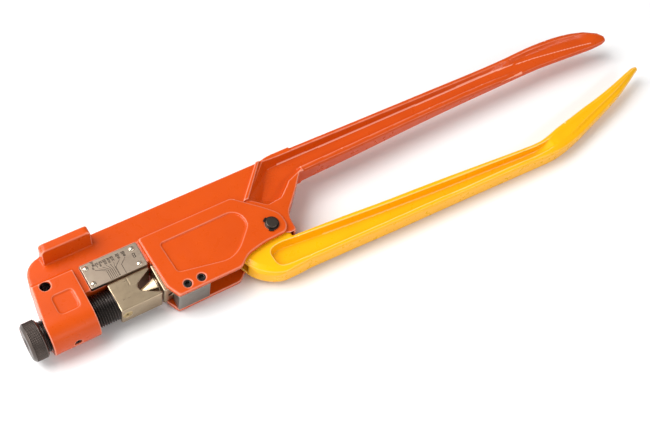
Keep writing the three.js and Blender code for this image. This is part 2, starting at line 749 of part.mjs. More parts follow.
function linkPin() {
  const half = LEVER_ROOT_HALF - 0.2;
  return piece(
    'link_pin', rodZ(-half, half, LINK_PIN_R, LINK_PIN_X), darkSteel(),
    [LINK_PIN_X, THRUST_Y, 0]);
}

// Link between lever and ram, with an eye at each end.
function toggleLink() {
  const shape = new THREE.Shape();
  const half = Math.PI / 2;
  shape.absarc(LINK_PIN_X, THRUST_Y, LINK_EYE_R, -half, half, false);
  shape.absarc(RAM_PIN_X, THRUST_Y, LINK_EYE_R, half, half + Math.PI, false);
  shape.closePath();
  const bar = cut(
    plate(shape, LINK_HALF, 0.8, 10),
    rodZ(-10, 10, LINK_PIN_R + GAP, LINK_PIN_X),
    rodZ(-10, 10, RAM_PIN_R + PIN_GAP, RAM_PIN_X),
  );
  return piece('toggle_link', bar, darkSteel(), [LINK_PIN_X, THRUST_Y, 0]);
}

function ramPin() {
  const half = RAM_HALF - 0.3;
  return piece(
    'ram_pin', rodZ(-half, half, RAM_PIN_R, RAM_PIN_X), darkSteel(),
    [RAM_PIN_X, THRUST_Y, 0]);
}

// ---- ram ---------------------------------------------------------------------------

const INDENTER_SHANK_R = 5;
const INDENTER_SHANK_LENGTH = 11;
const INDENTER_GRUB = { x: -152.5, radius: 2 };

// Sliding ram, forked at the rear around the link. Its pin holes are slots, because
// the ram pin moves with the link.
function ram() {
  const low = THRUST_Y - RAM_HEIGHT / 2;
  const high = THRUST_Y + RAM_HEIGHT / 2;
  const pinSlot = roundedOutline([
    [RAM_PIN_X - RAM_PIN_R - RAM_SLOT_REACH, THRUST_Y - RAM_PIN_R - RAM_SLOT_RISE, 3],
    [RAM_PIN_X + RAM_PIN_R + RAM_SLOT_BACK, THRUST_Y - RAM_PIN_R - RAM_SLOT_RISE, 3],
    [RAM_PIN_X + RAM_PIN_R + RAM_SLOT_BACK, THRUST_Y + RAM_PIN_R + RAM_SLOT_RISE, 3],
    [RAM_PIN_X - RAM_PIN_R - RAM_SLOT_REACH, THRUST_Y + RAM_PIN_R + RAM_SLOT_RISE, 3],
  ]);
  const forkHalf = LINK_HALF + GAP;
  const forkLeft = RAM_PIN_X - LINK_EYE_R - RAM_SLOT_REACH - 0.5;
  const shankEnd = RAM_FRONT + INDENTER_SHANK_LENGTH + GAP;
  const bar = cut(
    plate(rectangle(RAM_FRONT, RAM_REAR, low, high, 0.8), RAM_HALF, 0.5, 2),
    plate(pinSlot, RAM_HALF + 1, 0, 3),
    block(forkLeft, RAM_REAR + 5, 0, 50, -forkHalf, forkHalf),
    rodX(RAM_FRONT - 1, shankEnd, INDENTER_SHANK_R + PIN_GAP, THRUST_Y, 0, 24),
    rodY(0, THRUST_Y - 4, INDENTER_GRUB.radius + PIN_GAP, INDENTER_GRUB.x, 0, 12),
  );
  return piece('ram', bar, nickelPlate(), [RAM_PIN_X, THRUST_Y, 0]);
}

// Pyramid nib with rounded edges that presses the dent, on a collar and a round shank.
function indenter() {
  const base = RAM_FRONT - GAP;
  const sides = 24;
  const squareness = 0.5;
  const ring = (half) => Array.from({ length: sides }, (_, i) => {
    const turn = 2 * Math.PI * i / sides;
    const flat = 1 / Math.max(Math.abs(Math.cos(turn)), Math.abs(Math.sin(turn)));
    const radius = half * (1 - squareness + squareness * flat);
    return [THRUST_Y + radius * Math.cos(turn), radius * Math.sin(turn)];
  });
  const slice = (x, half) => ring(half).map(([y, z]) => new THREE.Vector3(x, y, z));
  const nib = solid(new ConvexGeometry([
    ...slice(base, NIB_BASE_HALF),
    ...slice(NIB_TIP_X + 0.5, NIB_TIP_HALF),
    ...slice(NIB_TIP_X, NIB_TIP_HALF - 0.6),
  ]));
  const collar = rodX(base - 1, base, NIB_BASE_HALF + 1.4, THRUST_Y, 0, 32);
  const shank = rodX(
    base - 0.5, RAM_FRONT + INDENTER_SHANK_LENGTH, INDENTER_SHANK_R, THRUST_Y, 0, 24);
  return piece('indenter', unite(nib, collar, shank), nickelPlate(), [base, THRUST_Y, 0]);
}

// Grub screw from below that holds the indenter shank.
function indenterGrubScrew() {
  const { x, radius } = INDENTER_GRUB;
  const low = THRUST_Y - RAM_HEIGHT / 2 + 0.6;
  const high = THRUST_Y - INDENTER_SHANK_R - GAP;
  return piece(
    'indenter_grub_screw', rodY(low, high, radius, x, 0, 12), blackOxide(), [x, low, 0]);
}

// ---- anvil and adjusting screw -------------------------------------------------------

const RETAINER = { headR: 4.2, shankR: 2.4, sink: 2.6, tip: 14.9 };
const SWIVEL_GROOVE_R = 6;

// Countersunk screw outline along +Y, opened out by the given play.
function retainerProfile(play) {
  const low = ANVIL_BOTTOM + 0.15;
  return [
    [0, play > 0 ? low - 2 : low],
    [RETAINER.headR + play, play > 0 ? low - 2 : low],
    [RETAINER.headR + play, low + 0.4],
    [RETAINER.shankR + play, low + RETAINER.sink],
    [RETAINER.shankR + play, RETAINER.tip + play],
    [0, RETAINER.tip + play],
  ];
}

// Anvil block with a vee notch for the lug, a socket for the nose of the adjusting
// screw and an index line that reads against the size plate.
function anvilBlock() {
  const mouth = VEE_MOUTH_HALF + 2 * Math.tan(VEE_HALF_ANGLE);
  const apex = ANVIL_RIGHT + 2 - mouth / Math.tan(VEE_HALF_ANGLE);
  const centre = apex + VEE_RADIUS / Math.sin(VEE_HALF_ANGLE);
  const touch = Math.PI / 2 + VEE_HALF_ANGLE;
  const notch = new THREE.Shape();
  notch.moveTo(ANVIL_RIGHT + 2, THRUST_Y - mouth);
  notch.lineTo(ANVIL_RIGHT + 2, THRUST_Y + mouth);
  notch.absarc(centre, THRUST_Y, VEE_RADIUS, touch, -touch, false);
  notch.closePath();
  const outline = rectangle(
    ANVIL_LEFT, ANVIL_RIGHT, ANVIL_BOTTOM, SPINE_UNDERSIDE - 0.4, 1);
  const screwHole = solid(turned(retainerProfile(PIN_GAP), 24).translate(SWIVEL_X, 0, 0));
  const bar = cut(
    plate(outline, ANVIL_HALF, 0.6, 2),
    plate(notch, ANVIL_HALF + 1, 0, 6),
    rodX(ANVIL_LEFT - 1, NOSE_END + GAP, NOSE_SHANK_R + GAP, THRUST_Y, 0, 36),
    screwHole,
    block(-179.7, -179, 25.7, 40, ANVIL_HALF - 0.4, ANVIL_HALF + 1),
  );
  return piece('anvil_block', bar, nickelPlate(), [ANVIL_LEFT, THRUST_Y, 0]);
}

// Cross-recessed screw whose tip runs in the groove of the adjusting screw.
function anvilRetainingScrew() {
  const body = solid(turned(retainerProfile(0), 24).translate(SWIVEL_X, 0, 0));
  const low = ANVIL_BOTTOM;
  const cross = unite(
    block(SWIVEL_X - 2, SWIVEL_X + 2, low - 1, low + 1.3, -0.5, 0.5),
    block(SWIVEL_X - 0.5, SWIVEL_X + 0.5, low - 1, low + 1.3, -2, 2),
  );
  return piece(
    'anvil_retaining_screw', cut(body, cross), plainSteel(), [SWIVEL_X, low, 0]);
}

// Adjusting screw: knob shank, threaded length at its full diameter, grooved nose.
function adjustingScrew() {
  const threadEnd = ANVIL_LEFT - GAP;
  const grooveHalf = RETAINER.shankR + GAP;
  const steps = [
    [0, KNOB_LEFT + 3.2],
    [KNOB_SHANK_R, KNOB_LEFT + 3.2],
    [KNOB_SHANK_R, KNOB_RIGHT + GAP],
    [THREAD_R - 1.2, KNOB_RIGHT + GAP],
    [THREAD_R, KNOB_RIGHT + GAP + 1.2],
    [THREAD_R, threadEnd - 1.2],
    [THREAD_R - 1.2, threadEnd],
    [NOSE_SHANK_R, threadEnd],
    [NOSE_SHANK_R, SWIVEL_X - grooveHalf],
    [SWIVEL_GROOVE_R, SWIVEL_X - grooveHalf],
    [SWIVEL_GROOVE_R, SWIVEL_X + grooveHalf],
    [NOSE_SHANK_R, SWIVEL_X + grooveHalf],
    [NOSE_SHANK_R, NOSE_END],
    [0, NOSE_END],
  ];
  const bar = turned(steps, 40).rotateZ(-Math.PI / 2).translate(0, THRUST_Y, 0);
  return piece('adjusting_screw', solid(bar), blackOxide(), [ANVIL_LEFT, THRUST_Y, 0]);
}

const KNOB_GRUB = { x: (KNOB_LEFT + KNOB_RIGHT) / 2, radius: 2 };

function adjustingKnob() {
  const bore = KNOB_SHANK_R + PIN_GAP;
  const rim = turned([
    [0, KNOB_LEFT],
    [KNOB_R - 2, KNOB_LEFT],
    [KNOB_R, KNOB_LEFT + 2],
    [KNOB_R, KNOB_RIGHT - 1.5],
    [KNOB_R - 1.5, KNOB_RIGHT],
    [bore, KNOB_RIGHT],
    [bore, KNOB_LEFT + 3],
    [0, KNOB_LEFT + 3],
  ], 48).rotateZ(-Math.PI / 2).translate(0, THRUST_Y, 0);
  const grubHole = rodY(
    THRUST_Y, THRUST_Y + KNOB_R + 2, KNOB_GRUB.radius + PIN_GAP, KNOB_GRUB.x, 0, 12);
  return piece(
    'adjusting_knob', cut(solid(rim), grubHole), darkSteel(), [KNOB_RIGHT, THRUST_Y, 0]);
}

function knobGrubScrew() {
  const { x, radius } = KNOB_GRUB;
  const low = THRUST_Y + KNOB_SHANK_R + GAP;
  const high = THRUST_Y + KNOB_R - 0.8;
  return piece('knob_grub_screw', rodY(low, high, radius, x, 0, 12), blackOxide(), [x, low, 0]);
}

// ---- assembly ------------------------------------------------------------------------

const fixedParts = assembly(
  bodyCasting(),
  sizePlate(),
  ...plateRivets(),
  guideBlock(),
  ...guideScrews(),
  headLockScrew(),
  pivotPin(),
  pivotClip('pivot_clip_front', CLIP_BOTTOM),
  pivotClip('pivot_clip_rear', -CLIP_BOTTOM - CLIP_THICKNESS),
);
const leverParts = assembly(movingHandle(), linkPin());
const linkParts = assembly(toggleLink(), ramPin());
const ramParts = assembly(ram(), indenter(), indenterGrubScrew());
const anvilParts = assembly(anvilBlock(), anvilRetainingScrew());
const screwParts = assembly(adjustingScrew(), adjustingKnob(), knobGrubScrew());
const tool = new THREE.Group();
tool.add(fixedParts, leverParts, linkParts, ramParts, anvilParts, screwParts);

// ---- resting on the ground -------------------------------------------------------------

// Lying on its back the tool touches the ground with the inner edge of the foot pad, the
// end of the pivot pin and the underside of the moving handle before its bend.
const footContact = new THREE.Vector3(FOOT_RIGHT - FOOT_CORNER, FOOT_RIM + 1.5, -FOOT_HALF);
const pinContact = new THREE.Vector3(PIVOT_X, THRUST_Y - 4.4, -PIVOT_PIN_END);
const bendContact = new THREE.Vector3(178, -23.1, -9.4);
const ground = new THREE.Plane().setFromCoplanarPoints(footContact, pinContact, bendContact);
const up = new THREE.Vector3(0, 0, 1);
const groundNormal = ground.normal.clone().multiplyScalar(Math.sign(ground.normal.z));
tool.quaternion.setFromUnitVectors(groundNormal, up);

// Origin on the ground below the middle of the tool.
const bounds = new THREE.Box3().setFromObject(tool, true);
const middle = bounds.getCenter(new THREE.Vector3());
tool.position.set(-middle.x, -middle.y, -bounds.min.z);

export default tool;
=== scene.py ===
"""Looks of a two-handed indent crimping tool lying on its back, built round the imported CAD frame.

Lengths inside the shape code are millimetres in the tool's own axes: +X from the adjusting
knob to the handle ends, +Y from the moving handle to the fixed handle, +Z out of the side
that carries the size plate. TOOL turns them into the metres of the row frame.
"""
import json
import math

import bmesh
import bpy
import numpy as np
from mathutils import Matrix, Vector


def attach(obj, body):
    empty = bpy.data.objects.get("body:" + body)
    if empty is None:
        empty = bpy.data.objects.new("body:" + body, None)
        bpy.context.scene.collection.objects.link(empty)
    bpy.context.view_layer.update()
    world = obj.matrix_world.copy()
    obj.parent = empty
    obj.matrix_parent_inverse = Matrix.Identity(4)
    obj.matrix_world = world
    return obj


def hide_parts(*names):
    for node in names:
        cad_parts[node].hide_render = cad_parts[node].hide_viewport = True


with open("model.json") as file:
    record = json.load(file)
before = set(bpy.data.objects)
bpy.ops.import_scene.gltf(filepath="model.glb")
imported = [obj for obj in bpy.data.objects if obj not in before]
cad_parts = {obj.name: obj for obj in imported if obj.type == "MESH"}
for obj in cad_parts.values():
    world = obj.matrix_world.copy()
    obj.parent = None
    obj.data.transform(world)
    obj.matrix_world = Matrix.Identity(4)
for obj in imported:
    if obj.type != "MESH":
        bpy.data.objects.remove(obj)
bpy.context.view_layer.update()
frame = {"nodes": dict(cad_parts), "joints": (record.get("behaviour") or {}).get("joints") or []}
nodes = frame["nodes"]

# ---- tool axes in the row frame ---------------------------------------------------------

MM = 0.001
THRUST_Y = 21.0
PIVOT = Vector((-56.4, THRUST_Y, 0.0))


def tool_matrix():
    """Tool millimetres to row frame metres, from the joints' own axes."""
    joints = {j["name"]: j for j in frame["joints"]}
    x = Vector(joints["anvil_slide"]["axis"])
    z = -Vector(joints["lever_hinge"]["axis"])
    y = z.cross(x)
    turn = Matrix((x, y, z)).transposed() * MM
    at = Vector(joints["lever_hinge"]["pos_m"]) - turn @ PIVOT
    return Matrix.Translation(at) @ turn.to_4x4()


TOOL = tool_matrix()
TO_TOOL = TOOL.inverted()


# ---- mesh helpers -------------------------------------------------------------------------

coarse = 1.0


def to_piece(name, mesh, material, body, slot, *replaced):
    """A finished mesh in tool millimetres becomes a piece of the model."""
    mesh.transform(TOOL)
    mesh.materials.clear()
    mesh.materials.append(material)
    mesh.shade_smooth()
    obj = bpy.data.objects.new(name, mesh)
    bpy.context.scene.collection.objects.link(obj)
    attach(obj, body)
    if replaced:
        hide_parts(*replaced)
    return obj


def solid_of(*names):
    """Closed mesh of CAD nodes, welded, in tool millimetres."""
    bm = bmesh.new()
    for name in names:
        bm.from_mesh(nodes[name].data)
    bmesh.ops.remove_doubles(bm, verts=bm.verts, dist=1e-6)
    bm.transform(TO_TOOL)
    mesh = bpy.data.meshes.new("solid")
    bm.to_mesh(mesh)
    bm.free()
    return mesh


def worked(mesh, *modifiers):
    """The mesh with a chain of (type, settings) modifiers applied to it."""
    obj = bpy.data.objects.new("work", mesh)
    bpy.context.scene.collection.objects.link(obj)
    for kind, settings in modifiers:
        modifier = obj.modifiers.new(kind.lower(), kind)
        for key, value in settings.items():
            setattr(modifier, key, value)
    graph = bpy.context.evaluated_depsgraph_get()
    result = bpy.data.meshes.new_from_object(obj.evaluated_get(graph), depsgraph=graph)
    bpy.data.objects.remove(obj)
    return result


def eased(mesh, cell, rounds):
    """Every edge of a solid rounded: rebuilt in cells of that size, then relaxed."""
    return worked(
        mesh,
        ("REMESH", {"mode": "VOXEL", "voxel_size": cell * coarse}),
        ("SMOOTH", {"factor": 0.5, "iterations": rounds}))


def grid_mesh(name, rings):
    """Closed skin over rings of points, each ring joined to the next and the ends capped."""
    rings = np.asarray(rings, dtype=float)
    count, around = rings.shape[:2]
    here = np.arange(count * around).reshape(count, around)
    beside = np.roll(here, -1, axis=1)
    quads = np.stack([here[:-1], beside[:-1], beside[1:], here[1:]], axis=-1).reshape(-1, 4)
    faces = [tuple(int(i) for i in q) for q in quads]
    faces.append(tuple(int(i) for i in here[0][::-1]))
    faces.append(tuple(int(i) for i in here[-1]))
    mesh = bpy.data.meshes.new(name)
    mesh.from_pydata(rings.reshape(-1, 3).tolist(), [], faces)
    return mesh


def turned_x(name, profile, sides, surface=None):
    """Part turned about the line of thrust from (x, radius) steps; surface(x, angle) lowers
    the radius where a thread or knurl is cut."""
    angles = np.linspace(0, 2 * math.pi, sides, endpoint=False)
    rings = []
    for x, radius in profile:
        r = np.full(sides, float(radius))
        if surface is not None:
            r = r - surface(x, angles)
        ring = np.stack([np.full(sides, x), THRUST_Y + r * np.cos(angles), r * np.sin(angles)], -1)
        rings.append(ring)
    return grid_mesh(name, rings)


def turned_z(name, x, y, profile, sides):
    """Part turned about a line along Z through x, y from (z, radius) steps."""
    angles = np.linspace(0, 2 * math.pi, sides, endpoint=False)
    rings = [np.stack([
        x + r * np.cos(angles), y + r * np.sin(angles), np.full(sides, z)], -1) for z, r in profile]
    return grid_mesh(name, rings)


def stroke_mesh(name, strokes, low, high):
    """Thin raised bars, each from x0, y0 to x1, y1 with a width."""
    bm = bmesh.new()
    for x0, y0, x1, y1, width in strokes:
        along = Vector((x1 - x0, y1 - y0, 0)).normalized()
        side = Vector((-along.y, along.x, 0)) * width / 2
        ends = [Vector((x0, y0, 0)) - along * width / 2, Vector((x1, y1, 0)) + along * width / 2]
        base = [ends[0] - side, ends[1] - side, ends[1] + side, ends[0] + side]
        lower = [bm.verts.new(v + Vector((0, 0, low))) for v in base]
        upper = [bm.verts.new(v + Vector((0, 0, high))) for v in base]
        bm.faces.new(lower[::-1])
        bm.faces.new(upper)
        for i in range(4):
            k = (i + 1) % 4
            bm.faces.new((lower[i], lower[k], upper[k], upper[i]))
    mesh = bpy.data.meshes.new(name)
    bm.to_mesh(mesh)
    bm.free()
    return mesh


# ---- materials ------------------------------------------------------------------------------

class Surface:
    """A material under construction: one principled shader and the nodes that drive it."""

    def __init__(self, name, **values):
        self.material = bpy.data.materials.new(name)
        self.material.use_nodes = True
        self.tree = self.material.node_tree
        self.shader = self.tree.nodes["Principled BSDF"]
        self.place = self.node("ShaderNodeTexCoord").outputs["Object"]
        for key, value in values.items():
            self.shader.inputs[key.replace("_", " ")].default_value = value

    def node(self, kind, inputs=(), **settings):
        made = self.tree.nodes.new(kind)
        for key, value in settings.items():
            setattr(made, key, value)
        for key, value in dict(inputs).items():
            if isinstance(value, bpy.types.NodeSocket):
                self.tree.links.new(value, made.inputs[key])
            else:
                made.inputs[key].default_value = value
        return made

    def noise(self, scale, detail=3.0, stretch=(1, 1, 1)):
        place = self.node(
            "ShaderNodeMapping", {"Vector": self.place, "Scale": stretch}).outputs[0]
        return self.node("ShaderNodeTexNoise", {
            "Vector": place, "Scale": scale, "Detail": detail}).outputs["Fac"]

    def spread(self, value, low, high, to_low, to_high):
        return self.node("ShaderNodeMapRange", {
            "Value": value, "From Min": low, "From Max": high,
            "To Min": to_low, "To Max": to_high}).outputs[0]

    def ramp(self, value, *stops):
        made = self.node("ShaderNodeValToRGB", {"Fac": value})
        elements = made.color_ramp.elements
        while len(elements) < len(stops):
            elements.new(0.5)
        for element, (at, color) in zip(elements, stops):
            element.position = at
            element.color = (*color, 1)
        return made.outputs["Color"]

    def mix(self, factor, a, b):
        made = self.node("ShaderNodeMix", data_type="RGBA")
        for at, value in ((0, factor), (6, a), (7, b)):
            if isinstance(value, bpy.types.NodeSocket):
                self.tree.links.new(value, made.inputs[at])
            else:
                made.inputs[at].default_value = value if at == 0 else (*value, 1)
        return made.outputs[2]

    def edges(self, low, high):
        """0 on flats, rising to 1 on the outer edges."""
        pointed = self.node("ShaderNodeNewGeometry").outputs["Pointiness"]
        return self.spread(pointed, low, high, 0, 1)

    def bump(self, height, depth):
        return self.node("ShaderNodeBump", {
            "Height": height, "Distance": depth, "Strength": 1.0}).outputs[0]

    def drive(self, **sockets):
        for key, value in sockets.items():
            self.tree.links.new(value, self.shader.inputs[key.replace("_", " ")])
        return self.material


def enamel(name, color, deep, painted_highlight):
    """Glossy stoving enamel over a sand casting, with a painted highlight on its edges and near-black
    colour on the marked wall of a hole. A pale painted line on the foot of a wall stands in for a
    reflection there."""
    s = Surface(name, Coat_Weight=0.12, Coat_Roughness=0.12, IOR=1.45, Specular_IOR_Level=0.25)
    flow = s.noise(45, 3)
    tone = s.mix(s.spread(flow, 0.35, 0.7, 0, 0.5), color, deep)
    # painted highlight: the outer edges, found by pointiness, are coloured paler
    tone = s.mix(s.edges(0.51, 0.56), tone, painted_highlight)
    # painted highlight: a pale line on the marked foot of a wall
    wall_line = s.node("ShaderNodeAttribute", attribute_name="wall_line").outputs["Fac"]
    tone = s.mix(wall_line, tone, painted_highlight)
    # the marked wall of the hole is coloured near-black
    dark_hole_wall = s.node("ShaderNodeAttribute", attribute_name="dark_hole_wall").outputs["Fac"]
    tone = s.mix(dark_hole_wall, tone, (0.012, 0.009, 0.008))
    rough = s.spread(s.noise(160, 2), 0.3, 0.7, 0.26, 0.34)
    cast = s.bump(s.noise(70, 2), 0.00005)
    return s.drive(Base_Color=tone, Roughness=rough, Normal=cast)


def steel(name, dark, light, rough, edge_highlight=None, hollow_shade=None):
    """Bare or plated steel with fine machining lines, with a painted highlight on its edges and
    painted shade in its hollows."""
    s = Surface(name, Metallic=1.0)
    lines = s.noise(40, 3, (4, 24, 24))
    stain = s.noise(90, 3)
    tone = s.mix(s.spread(stain, 0.3, 0.7, 0, 1), dark, light)
    if edge_highlight:
        # painted highlight: the outer edges, found by pointiness, are coloured paler
        tone = s.mix(s.edges(0.52, 0.6), tone, edge_highlight)
    if hollow_shade:
        # painted shade: the hollows, found by pointiness, are darkened towards near-black
        tone = s.mix(s.edges(0.495, 0.44), tone, hollow_shade)
    shine = s.spread(lines, 0.3, 0.7, rough - 0.05, rough + 0.06)
    return s.drive(Base_Color=tone, Roughness=shine, Normal=s.bump(lines, 0.000003))


orange = enamel("orange_enamel", (0.61, 0.072, 0.003), (0.55, 0.060, 0.002), (0.92, 0.42, 0.30))
yellow = enamel("yellow_enamel", (0.93, 0.45, 0.001), (0.89, 0.41, 0.001), (1.0, 0.74, 0.32))
nickel = steel("satin_nickel", (0.40, 0.305, 0.20), (0.46, 0.355, 0.235), 0.32, edge_highlight=(0.98, 0.90, 0.80))
brass = steel(
    "brassy_screw", (0.46, 0.33, 0.15), (0.56, 0.42, 0.21), 0.30, edge_highlight=(0.95, 0.80, 0.52),
    hollow_shade=(0.03, 0.022, 0.012))
bright = steel("bright_nickel", (0.66, 0.58, 0.46), (0.76, 0.67, 0.53), 0.24, edge_highlight=(1.0, 0.92, 0.8))
ground = steel("ground_steel", (0.22, 0.198, 0.174), (0.27, 0.246, 0.218), 0.40, edge_highlight=(0.6, 0.55, 0.48))
black = steel("black_oxide", (0.036, 0.030, 0.027), (0.058, 0.048, 0.044), 0.36, edge_highlight=(0.15, 0.13, 0.12))
dark = steel("dark_steel", (0.06, 0.046, 0.038), (0.09, 0.072, 0.06), 0.42, edge_highlight=(0.22, 0.19, 0.165))
browned = steel(
    "browned_steel", (0.068, 0.052, 0.045), (0.105, 0.083, 0.072), 0.36, edge_highlight=(0.13, 0.11, 0.10),
    hollow_shade=(0.012, 0.009, 0.008))
etched = steel("etched_metal", (0.37, 0.292, 0.224), (0.42, 0.335, 0.258), 0.40, edge_highlight=(0.95, 0.86, 0.75))
ink = steel("etched_lines", (0.03, 0.025, 0.02), (0.05, 0.04, 0.034), 0.6)

# ---- cast and forged pieces -------------------------------------------------------------------

CASTING_CELL = 0.52
LEVER_CELL = 0.55
HANGING_HOLE = (-237.3, 51.1, 4.3)
BORE_REACH = 14.6               # half the length of the hole wall coloured near-black, along Z
ROOT_END = -20                  # the handle recesses run from here
GRIP_START = 232                # to here
GRIP_XS = (226, 251, 281, 301, 313)
GRIP_RIM = (77.0, 77.4, 75.8, 72.8, 69.4)
GRIP_FOOT = (71.6, 69.3, 65.0, 61.9, 59.7)
GRIP_DISH = 1.5


def per_vertex(mesh, key):
    """Vertex positions ("co") or normals ("normal") as rows of three."""
    values = np.empty(len(mesh.vertices) * 3)
    mesh.vertices.foreach_get(key, values)
    return values.reshape(-1, 3)


def marked(mesh, name, strength):
    """The mesh with a number per vertex for its material to read."""
    mark = mesh.attributes.new(name, "FLOAT", "POINT")
    mark.data.foreach_set("value", strength.astype(np.float32))
    return mesh


def with_dark_hole_wall(mesh, x, y, radius):
    """Marks the wall of a hole along Z, which the enamel colours near-black."""
    points = per_vertex(mesh, "co")
    reach = np.hypot(points[:, 0] - x, points[:, 1] - y)
    inside = (reach < radius + 0.3) & (np.abs(points[:, 2]) < BORE_REACH)
    return marked(mesh, "dark_hole_wall", inside)


def with_wall_line(mesh, strength, grip_foot=None):
    """Marks the foot of the upper wall of a handle recess, just above the web, and on the
    grip a line through the given x and y."""
    x, y, z = per_vertex(mesh, "co").T
    _, lean, rise = per_vertex(mesh, "normal").T
    along = (x > ROOT_END) & (x < GRIP_START)
    foot = along & (np.abs(z) < 3.5) & (lean < -0.3) & (np.abs(rise) > 0.4)
    if grip_foot:
        near = np.abs(y - np.interp(x, *grip_foot)) < 0.4
        foot = foot | (near & (x >= GRIP_START) & (x < grip_foot[0][-1]) & (np.abs(rise) > 0.5))
    return marked(mesh, "wall_line", foot * strength)


def dished(mesh, depth):
    """The broad side of the fixed grip hollowed between the rim and the foot of its wall."""
    points = per_vertex(mesh, "co")
    x, y, z = points.T
    rim = np.interp(x, GRIP_XS, GRIP_RIM)
    foot = np.interp(x, GRIP_XS, GRIP_FOOT)
    across = np.clip((y - foot) / (rim - foot), 0, 1)
    along = np.clip((x - GRIP_XS[0]) / 20, 0, 1) * np.clip((GRIP_XS[-1] + 6 - x) / 14, 0, 1)
    points[:, 2] -= np.sign(z) * depth * along * np.sin(math.pi * across)
    mesh.vertices.foreach_set("co", points.ravel())
    mesh.update()
    return mesh


cast_frame = dished(eased(solid_of("body_casting"), CASTING_CELL, 4), GRIP_DISH)
cast_frame = with_wall_line(cast_frame, 0.7, (GRIP_XS, GRIP_FOOT))
cast_lever = with_wall_line(eased(solid_of("moving_handle"), LEVER_CELL, 4), 0.35)
to_piece(
    "cast_frame", with_dark_hole_wall(cast_frame, *HANGING_HOLE), orange, "frame", "orange_paint",
    "body_casting")
to_piece("cast_lever", cast_lever, yellow, "lever", "yellow_paint", "moving_handle")

# ---- machined blocks, pins and clips: body, look, cell, rounds of easing -----------------------

MACHINED = {
    "anvil_block": ("anvil", nickel, 0.28, 3),
    "ram": ("ram", nickel, 0.28, 3),
    "indenter": ("ram", nickel, 0.22, 3),
    "indenter_grub_screw": ("ram", black, 0.2, 2),
    "anvil_retaining_screw": ("anvil", brass, 0.14, 2),
    "guide_block": ("frame", ground, 0.28, 2),
    "guide_block_screw_1": ("frame", black, 0.16, 2),
    "guide_block_screw_2": ("frame", black, 0.16, 2),
    "head_lock_screw": ("frame", black, 0.18, 2),
    "pivot_pin": ("frame", dark, 0.2, 3),
    "pivot_clip_front": ("frame", black, 0.14, 2),
    "pivot_clip_rear": ("frame", black, 0.14, 2),
    "size_plate": ("frame", etched, 0.22, 2),
    "toggle_link": ("link", dark, 0.3, 3),
    "ram_pin": ("link", dark, 0.25, 2),
    "link_pin": ("lever", dark, 0.25, 2),
    "knob_grub_screw": ("screw", black, 0.2, 2),
}
for name, (body, look, cell, rounds) in MACHINED.items():
    slot = nodes[name].data.materials[0].name
    to_piece("fine_" + name, eased(solid_of(name), cell, rounds), look, body, slot, name)

# ---- adjusting screw and knob -------------------------------------------------------------------

THREAD_PITCH = 2.0
THREAD_DEPTH = 1.1
THREAD_R = 12.6
STEPS_PER_TURN = 12


def extent(name, axis):
    """Least and greatest coordinate of a CAD node along a tool axis."""
    values = [(TO_TOOL @ nodes[name].matrix_world @ v.co)[axis] for v in nodes[name].data.vertices]
    return min(values), max(values)


screw_left, screw_right = extent("adjusting_screw", 0)
knob_left, knob_right = extent("adjusting_knob", 0)
anvil_left, _ = extent("anvil_block", 0)
thread_start = knob_right + 0.5
thread_end = anvil_left - 0.4


def thread(x, angles):
    """Right-hand sixty-degree thread, faded out at both ends of the full diameter."""
    if not thread_start < x < thread_end:
        return 0.0
    turn = (x / THREAD_PITCH - angles / (2 * math.pi)) % 1.0
    fade = min(1.0, (x - thread_start) / 1.2, (thread_end - x) / 1.2)
    return THREAD_DEPTH * fade * np.clip(1.25 * (1 - np.abs(2 * turn - 1)) - 0.12, 0, 1)


thread_steps = int((thread_end - thread_start) / THREAD_PITCH * STEPS_PER_TURN)
thread_profile = [(x, THREAD_R) for x in np.linspace(thread_start, thread_end, thread_steps)]
screw_profile = [
    (screw_left, 5.6), (screw_left + 0.4, 6), (knob_right + 0.3, 6), (knob_right + 0.3, THREAD_R - 0.9),
    *thread_profile,
    (anvil_left - 0.3, THREAD_R - 0.9), (anvil_left - 0.3, 8), (screw_right - 0.5, 8),
    (screw_right, 7.4),
]
to_piece(
    "threaded_screw", turned_x("threaded_screw", screw_profile, 96, thread), black, "screw",
    "black_oxide", "adjusting_screw")

KNOB_R = 15.7
KNURL_COUNT = 60
KNURL_PITCH = 1.65


def knurl(x, angles):
    """Diamond knurl on the rim between the two chamfers."""
    if not knob_left + 2.1 < x < knob_right - 1.6:
        return 0.0
    around = angles * KNURL_COUNT / (2 * math.pi)
    one = np.abs(((around + x / KNURL_PITCH) % 1.0) - 0.5)
    two = np.abs(((around - x / KNURL_PITCH) % 1.0) - 0.5)
    return 0.9 * np.maximum(one, two)


knob_profile = [
    (knob_left + 0.5, 4.4), (knob_left, 5.2), (knob_left, KNOB_R - 2.3), (knob_left + 0.1, KNOB_R - 2),
    (knob_left + 1.9, KNOB_R - 0.15), (knob_left + 2.05, KNOB_R),
    *[(x, KNOB_R) for x in np.linspace(knob_left + 2.15, knob_right - 1.65, 44)],
    (knob_right - 1.5, KNOB_R), (knob_right - 0.1, KNOB_R - 1.4), (knob_right, KNOB_R - 1.7),
    (knob_right, 6.6), (knob_right - 0.4, 6.2), (knob_left + 3, 6.2),
]
to_piece(
    "knurled_knob", turned_x("knurled_knob", knob_profile, 624, knurl), browned, "screw",
    "knurled_steel", "adjusting_knob")

# ---- size plate: rivets and engraved chart --------------------------------------------------------

for name in sorted(n for n in nodes if n.startswith("plate_rivet_")):
    (x0, x1), (y0, y1), (z0, z1) = (extent(name, axis) for axis in range(3))
    x, y, head = (x0 + x1) / 2, (y0 + y1) / 2, (x1 - x0) / 2
    crown = [(z1 - 1 + math.sin(a), head * math.cos(a)) for a in np.linspace(0, 1.45, 9)]
    profile = [(z0, 0.9), (z0 + 0.2, 1.1), (z1 - 1, 1.1), *crown]
    to_piece(
        "domed_" + name, turned_z(name, x, y, profile, 40), bright, "frame", "ground_steel", name)

